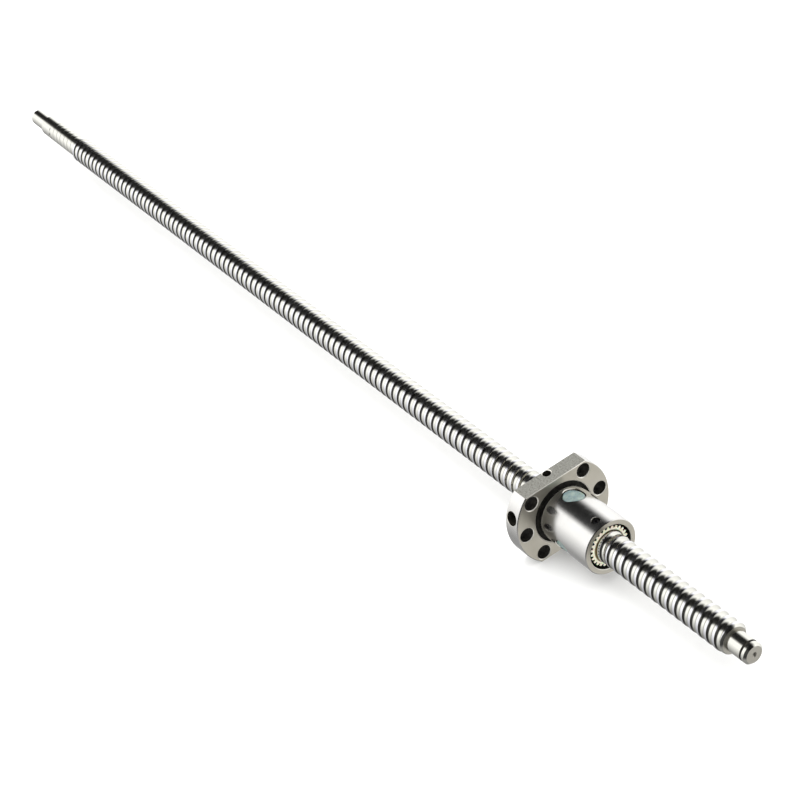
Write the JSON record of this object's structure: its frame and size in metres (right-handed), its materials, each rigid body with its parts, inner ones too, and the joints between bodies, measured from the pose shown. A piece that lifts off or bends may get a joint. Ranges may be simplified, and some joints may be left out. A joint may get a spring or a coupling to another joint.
{
  "type": "ball screw assembly",
  "caption": "Right-hand ball screw with machined ends and a flanged single nut that holds recirculating balls, return deflectors and wipers.",
  "frame": {"origin": "centre of the overall box: on the screw's axis at the middle of its length", "axes": "+X along the screw axis from the fixed end to the floating end, +Z square to the wide flat of the nut's flange, +Y across the flange"},
  "size_m": [0.547, 0.04, 0.03],
  "materials": {
    "screw_steel": "rolled and polished steel, bright lands and ball track",
    "nut_steel": "ground bearing steel with fine machining marks",
    "wiper_nylon": "ivory nylon",
    "deflector_plastic": "pale blue-green moulded plastic",
    "ball_steel": "polished bearing steel",
    "set_screw_steel": "black oxide"
  },
  "bodies": {
    "screw": {"screw_shaft": "screw_steel"},
    "nut_carriage": {"rear_wiper": "wiper_nylon"},
    "nut": {"nut_body": "nut_steel", "front_wiper": "wiper_nylon", "front_set_screw": "set_screw_steel", "rear_set_screw": "set_screw_steel", "return_deflector_1": "deflector_plastic", "return_deflector_2": "deflector_plastic", "return_deflector_3": "deflector_plastic", "ball_1_01": "ball_steel", "ball_1_02": "ball_steel", "ball_1_03": "ball_steel", "ball_1_04": "ball_steel", "ball_1_05": "ball_steel", "ball_1_06": "ball_steel", "ball_1_07": "ball_steel", "ball_1_08": "ball_steel", "ball_1_09": "ball_steel", "ball_1_10": "ball_steel", "ball_1_11": "ball_steel", "ball_1_12": "ball_steel", "ball_2_01": "ball_steel", "ball_2_02": "ball_steel", "ball_2_03": "ball_steel", "ball_2_04": "ball_steel", "ball_2_05": "ball_steel", "ball_2_06": "ball_steel", "ball_2_07": "ball_steel", "ball_2_08": "ball_steel", "ball_2_09": "ball_steel", "ball_2_10": "ball_steel", "ball_2_11": "ball_steel", "ball_2_12": "ball_steel", "ball_3_01": "ball_steel", "ball_3_02": "ball_steel", "ball_3_03": "ball_steel", "ball_3_04": "ball_steel", "ball_3_05": "ball_steel", "ball_3_06": "ball_steel", "ball_3_07": "ball_steel", "ball_3_08": "ball_steel", "ball_3_09": "ball_steel", "ball_3_10": "ball_steel", "ball_3_11": "ball_steel", "ball_3_12": "ball_steel"}
  },
  "joints": [
    {"name": "nut_travel", "type": "slide", "parent": "screw", "child": "nut_carriage", "axis": [1, 0, 0], "range_m": [-0.384, 0.06]},
    {"name": "nut_turn", "type": "hinge", "parent": "nut_carriage", "child": "nut", "pos_m": [0.1821, 0, 0], "axis": [1, 0, 0], "range_deg": [-34560.5, 5400.5]}
  ],
  "couplings": [
    {"joint": "nut_turn", "follows": "nut_travel", "rad_per_m": 1570.8}
  ]
}
